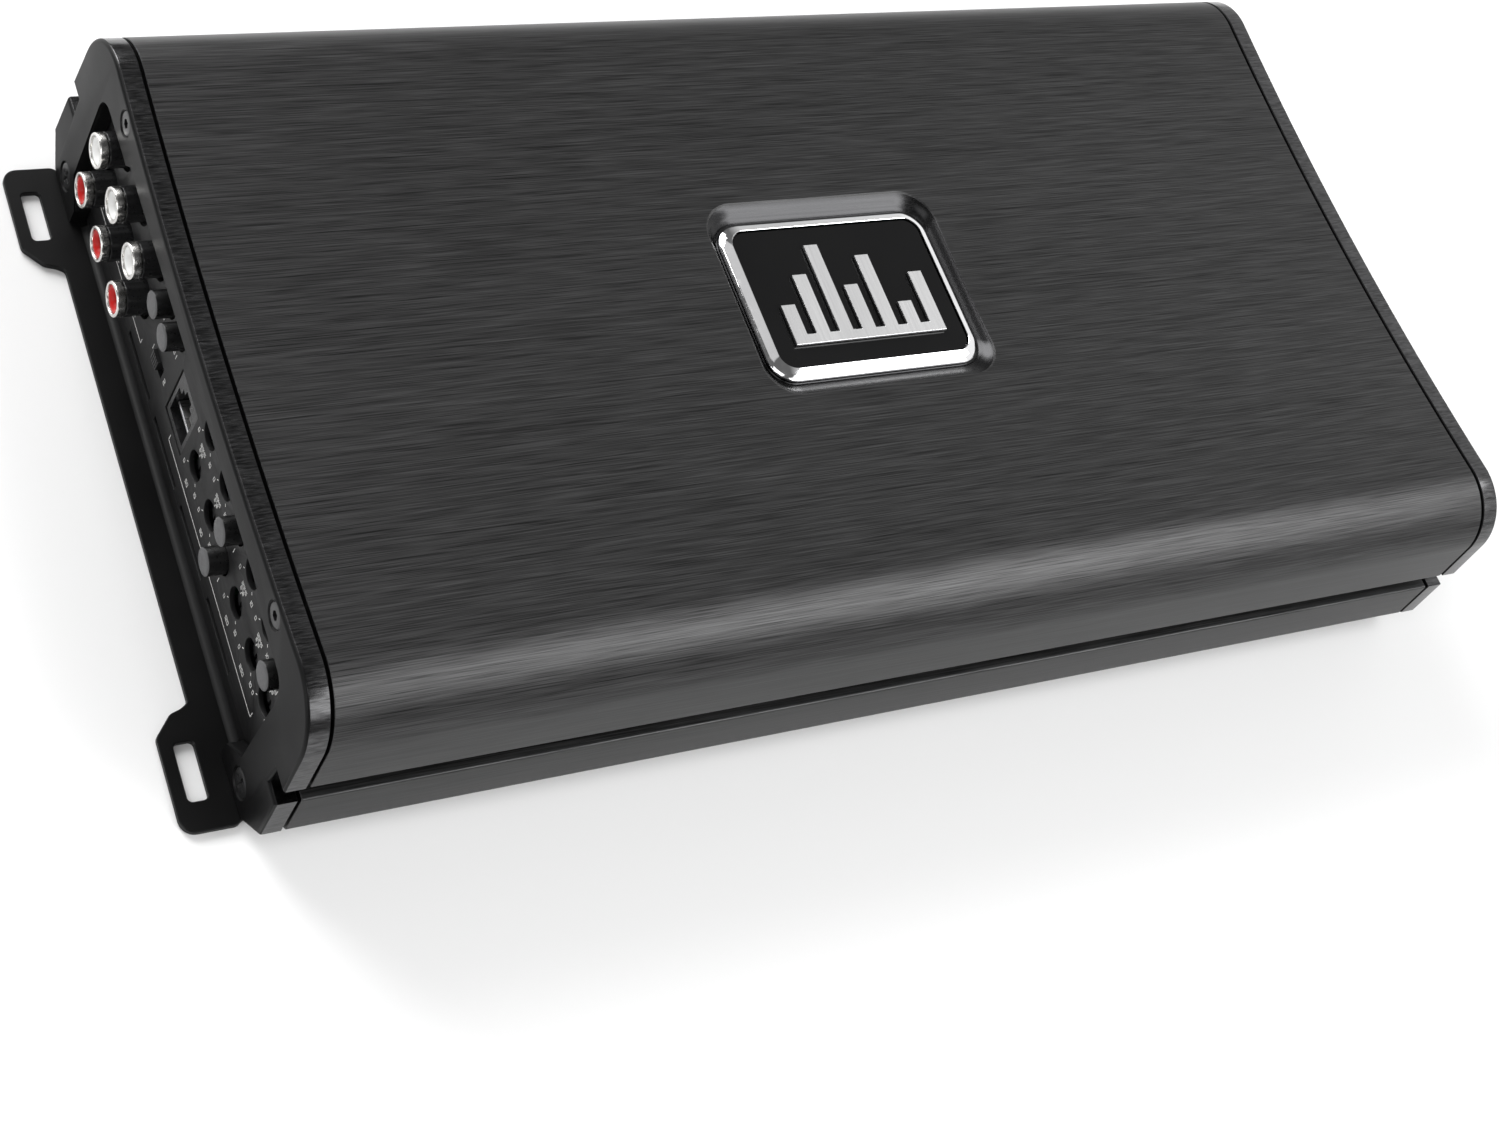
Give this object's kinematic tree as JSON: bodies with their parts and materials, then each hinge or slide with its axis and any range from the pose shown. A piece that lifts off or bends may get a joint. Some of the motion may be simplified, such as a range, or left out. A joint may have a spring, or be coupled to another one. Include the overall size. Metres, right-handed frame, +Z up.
{
  "type": "car audio amplifier",
  "caption": "Black brushed aluminium car amplifier with dished top, chrome-framed badge, recessed control panel with sockets and controls, and slotted mounting feet.",
  "frame": {"origin": "on the mounting surface under the middle of the case, at the bottom centre of the bounding box", "axes": "+X along the case from the control end to the power end, +Y to the left seen from the control end looking along +X, +Z up"},
  "size_m": [0.353, 0.18, 0.055],
  "materials": {
    "heatsink": "brushed, black anodised",
    "end_cap": "satin black",
    "base_plate": "black powder coat",
    "panel": "matt black",
    "screw": "black oxide",
    "circuit_board": "green laminate",
    "badge_bezel": "polished",
    "badge_plate": "gloss",
    "badge_emblem": "satin silver",
    "socket_block": "satin",
    "socket_barrel": "nickel plated",
    "socket_core_white": "satin",
    "socket_core_red": "satin",
    "knob": "satin",
    "control_housing": "satin",
    "button": "satin",
    "slide_lever": "satin",
    "slide_frame": "plated",
    "remote_socket": "satin",
    "terminal_block": "satin",
    "transformer": "enamelled windings under tape",
    "capacitor": "shrink sleeve",
    "transistor_bank": "matt"
  },
  "bodies": {
    "amplifier": {"heatsink_case": "heatsink", "control_end_cap": "end_cap", "power_end_cap": "end_cap", "base_plate": "base_plate", "control_panel": "panel", "power_panel": "panel", "circuit_board": "circuit_board", "badge_bezel": "badge_bezel", "badge_plate": "badge_plate", "badge_emblem": "badge_emblem", "socket_block": "socket_block", "knob_housing_12": "control_housing", "knob_housing_45": "control_housing", "knob_housing_6": "control_housing", "switch_housing_input": "control_housing", "switch_housing_3": "control_housing", "switch_housing_6": "control_housing", "slide_frame": "slide_frame", "remote_socket": "remote_socket", "speaker_terminals": "terminal_block", "power_terminals": "terminal_block", "toroid_transformer": "transformer", "capacitor_1": "capacitor", "capacitor_2": "capacitor", "transistor_bank": "transistor_bank", "control_screw_top_left": "screw", "control_screw_top_right": "screw", "control_screw_low_left": "screw", "control_screw_low_right": "screw", "power_screw_top_left": "screw", "power_screw_top_right": "screw", "power_screw_low_left": "screw", "power_screw_low_right": "screw", "socket_barrel_upper_1": "socket_barrel", "socket_barrel_upper_2": "socket_barrel", "socket_barrel_upper_3": "socket_barrel", "socket_barrel_lower_1": "socket_barrel", "socket_barrel_lower_2": "socket_barrel", "socket_barrel_lower_3": "socket_barrel", "socket_core_upper_1": "socket_core_white", "socket_core_upper_2": "socket_core_white", "socket_core_upper_3": "socket_core_white", "socket_core_lower_1": "socket_core_red", "socket_core_lower_2": "socket_core_red", "socket_core_lower_3": "socket_core_red"},
    "knob_1_low": {"knob_1_low": "knob"},
    "knob_1_high": {"knob_1_high": "knob"},
    "knob_2_low": {"knob_2_low": "knob"},
    "knob_2_high": {"knob_2_high": "knob"},
    "knob_4_low": {"knob_4_low": "knob"},
    "knob_4_high": {"knob_4_high": "knob"},
    "knob_5_low": {"knob_5_low": "knob"},
    "knob_5_high": {"knob_5_high": "knob"},
    "knob_6_low": {"knob_6_low": "knob"},
    "button_input_a": {"button_input_a": "button"},
    "button_input_b": {"button_input_b": "button"},
    "button_3_high": {"button_3_high": "button"},
    "button_3_low": {"button_3_low": "button"},
    "button_6_high": {"button_6_high": "button"},
    "slide_lever": {"slide_lever": "slide_lever"}
  },
  "joints": [
    {"name": "knob_1_low_turn", "type": "hinge", "parent": "amplifier", "child": "knob_1_low", "pos_m": [-0.1583, -0.0107, 0.0229], "axis": [-1, 0, 0], "range_deg": [-150, 150]},
    {"name": "knob_1_high_turn", "type": "hinge", "parent": "amplifier", "child": "knob_1_high", "pos_m": [-0.1583, -0.0107, 0.0359], "axis": [-1, 0, 0], "range_deg": [-150, 150]},
    {"name": "knob_2_low_turn", "type": "hinge", "parent": "amplifier", "child": "knob_2_low", "pos_m": [-0.1583, -0.023, 0.0229], "axis": [-1, 0, 0], "range_deg": [-150, 150]},
    {"name": "knob_2_high_turn", "type": "hinge", "parent": "amplifier", "child": "knob_2_high", "pos_m": [-0.1583, -0.023, 0.0359], "axis": [-1, 0, 0], "range_deg": [-150, 150]},
    {"name": "knob_4_low_turn", "type": "hinge", "parent": "amplifier", "child": "knob_4_low", "pos_m": [-0.1583, -0.044, 0.0229], "axis": [-1, 0, 0], "range_deg": [-150, 150]},
    {"name": "knob_4_high_turn", "type": "hinge", "parent": "amplifier", "child": "knob_4_high", "pos_m": [-0.1583, -0.044, 0.0359], "axis": [-1, 0, 0], "range_deg": [-150, 150]},
    {"name": "knob_5_low_turn", "type": "hinge", "parent": "amplifier", "child": "knob_5_low", "pos_m": [-0.1583, -0.0561, 0.0229], "axis": [-1, 0, 0], "range_deg": [-150, 150]},
    {"name": "knob_5_high_turn", "type": "hinge", "parent": "amplifier", "child": "knob_5_high", "pos_m": [-0.1583, -0.0561, 0.0359], "axis": [-1, 0, 0], "range_deg": [-150, 150]},
    {"name": "knob_6_low_turn", "type": "hinge", "parent": "amplifier", "child": "knob_6_low", "pos_m": [-0.1583, -0.0668, 0.0229], "axis": [-1, 0, 0], "range_deg": [-150, 150]},
    {"name": "button_input_a_press", "type": "slide", "parent": "amplifier", "child": "button_input_a", "axis": [1, 0, 0], "range_m": [0, 0.0023], "stiffness_N_per_m": 400},
    {"name": "button_input_b_press", "type": "slide", "parent": "amplifier", "child": "button_input_b", "axis": [1, 0, 0], "range_m": [0, 0.0023], "stiffness_N_per_m": 400},
    {"name": "button_3_high_press", "type": "slide", "parent": "amplifier", "child": "button_3_high", "axis": [1, 0, 0], "range_m": [0, 0.0023], "stiffness_N_per_m": 400},
    {"name": "button_3_low_press", "type": "slide", "parent": "amplifier", "child": "button_3_low", "axis": [1, 0, 0], "range_m": [0, 0.0023], "stiffness_N_per_m": 400},
    {"name": "button_6_high_press", "type": "slide", "parent": "amplifier", "child": "button_6_high", "axis": [1, 0, 0], "range_m": [0, 0.0023], "stiffness_N_per_m": 400},
    {"name": "slide_lever_travel", "type": "slide", "parent": "amplifier", "child": "slide_lever", "axis": [0, -1, 0], "range_m": [0, 0.0021]}
  ]
}
